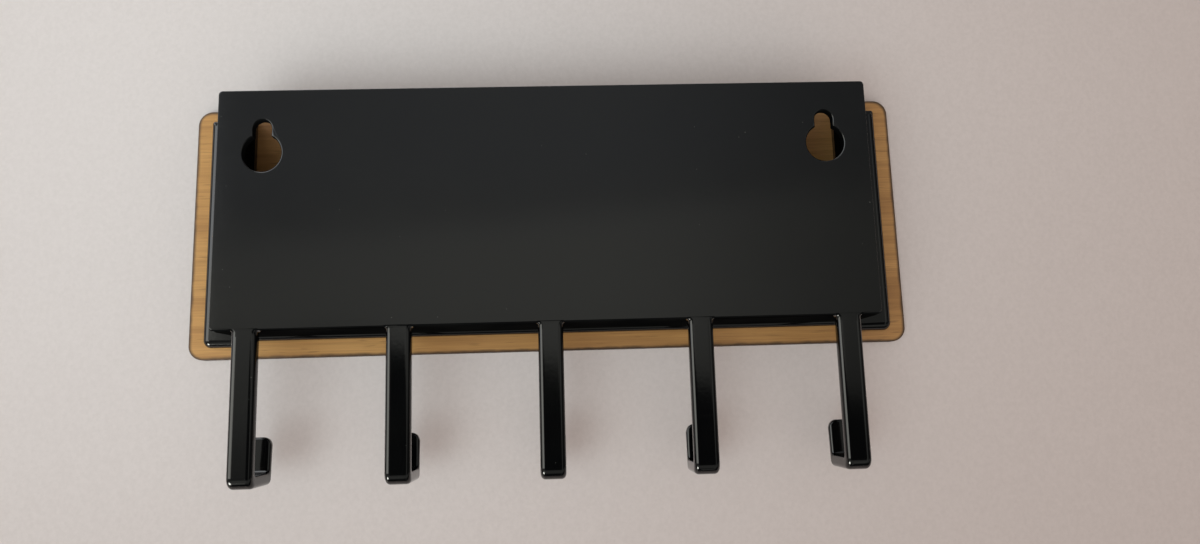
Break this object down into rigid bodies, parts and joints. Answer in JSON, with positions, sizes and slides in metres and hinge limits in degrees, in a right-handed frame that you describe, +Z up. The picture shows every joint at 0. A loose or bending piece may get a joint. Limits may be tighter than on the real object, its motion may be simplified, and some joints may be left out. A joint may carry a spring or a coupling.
{
  "type": "wall key rack",
  "caption": "Wall-hung key and letter rack: black moulded tray with keyhole hangers, open-topped letter pocket, flat J-hooks below and a wooden front panel.",
  "frame": {"origin": "centre of the back plate's rear face, in the plane of the wall", "axes": "+Z up as the rack hangs, +Y into the wall, +X along the rack's length"},
  "size_m": [0.2, 0.0275, 0.1041],
  "materials": {
    "black_plastic": "high-gloss injection-moulded black",
    "stained_wood": "thin board, stained mid brown, with dark cut edges",
    "foam_tape": "off-white double-sided foam tape"
  },
  "bodies": {
    "root": {"back_plate": "black_plastic", "hook_1": "black_plastic", "hook_2": "black_plastic", "hook_3": "black_plastic", "hook_4": "black_plastic", "hook_5": "black_plastic", "left_side_wall": "black_plastic", "right_side_wall": "black_plastic", "pocket_floor": "black_plastic", "left_wing": "black_plastic", "right_wing": "black_plastic", "lower_lip": "black_plastic", "left_panel_tape": "foam_tape", "right_panel_tape": "foam_tape", "front_panel": "stained_wood"}
  },
  "joints": []
}
